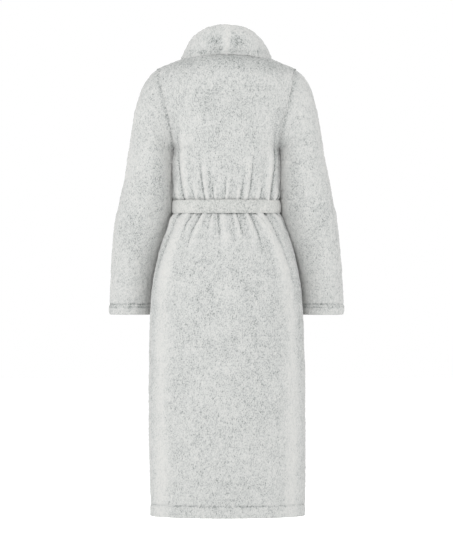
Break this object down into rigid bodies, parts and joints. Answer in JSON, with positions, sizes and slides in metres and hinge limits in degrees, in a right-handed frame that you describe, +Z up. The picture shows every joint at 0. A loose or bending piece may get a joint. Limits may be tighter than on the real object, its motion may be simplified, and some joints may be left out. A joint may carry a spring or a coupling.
{
  "type": "bathrobe",
  "caption": "Long plush robe with a shawl collar, set-in sleeves, tie belt, overlapping front, patch pockets and a hanger loop, shown hanging as worn.",
  "frame": {"origin": "on the robe's middle plane at the height of the shoulder-neck points, where the shoulders carry it", "axes": "+Z up, along the robe's length; the front faces -Y and the back +Y; the wearer's left is +X"},
  "size_m": [0.624, 0.3098, 1.2983],
  "materials": {
    "plush": "matte",
    "belt_plush": "matte",
    "tape": "matte",
    "label_cloth": "satin"
  },
  "bodies": {
    "robe_body": {"back_panel": "plush", "left_front_panel": "plush", "right_front_panel": "plush", "back_hem": "plush", "left_front_hem": "plush", "right_front_hem": "plush", "left_sleeve_head": "plush", "right_sleeve_head": "plush", "left_collar": "plush", "right_collar": "plush", "left_pocket": "plush", "right_pocket": "plush", "left_pocket_hem": "plush", "right_pocket_hem": "plush", "belt": "belt_plush", "belt_knot": "belt_plush", "left_belt_loop": "tape", "right_belt_loop": "tape", "back_neck_facing": "tape", "left_shoulder_tape": "tape", "right_shoulder_tape": "tape", "left_inner_tie": "tape", "right_inner_tie": "tape", "neck_label": "label_cloth", "care_label": "label_cloth"},
    "left_sleeve": {"left_sleeve": "plush", "left_cuff_hem": "plush"},
    "right_sleeve": {"right_sleeve": "plush", "right_cuff_hem": "plush"},
    "front_corner": {"right_front_corner": "plush", "right_corner_hem": "plush"},
    "left_tail": {"left_belt_tail": "belt_plush"},
    "right_tail": {"right_belt_tail": "belt_plush"},
    "hanger_loop": {"hanger_loop": "tape"}
  },
  "joints": [
    {"name": "left_sleeve_lift", "type": "hinge", "parent": "robe_body", "child": "left_sleeve", "pos_m": [0.2445, 0, -0.145], "axis": [0, -1, 0], "range_deg": [0, 60]},
    {"name": "right_sleeve_lift", "type": "hinge", "parent": "robe_body", "child": "right_sleeve", "pos_m": [-0.2445, 0, -0.145], "axis": [0, 1, 0], "range_deg": [0, 60]},
    {"name": "front_corner_open", "type": "hinge", "parent": "robe_body", "child": "front_corner", "pos_m": [0.06, -0.1535, -0.56], "axis": [-0.1801, -0.0195, -0.9835], "range_deg": [0, 60]},
    {"name": "left_tail_swing", "type": "hinge", "parent": "robe_body", "child": "left_tail", "pos_m": [0.1, -0.0895, -0.42], "axis": [-0.8324, -0.5542, 0], "range_deg": [0, 75]},
    {"name": "right_tail_swing", "type": "hinge", "parent": "robe_body", "child": "right_tail", "pos_m": [0.1, -0.0895, -0.42], "axis": [-0.8324, -0.5542, 0], "range_deg": [0, 75]},
    {"name": "hanger_loop_turn", "type": "hinge", "parent": "robe_body", "child": "hanger_loop", "pos_m": [0, 0.04375, -0.003], "axis": [-1, 0, 0], "range_deg": [0, 150]}
  ]
}
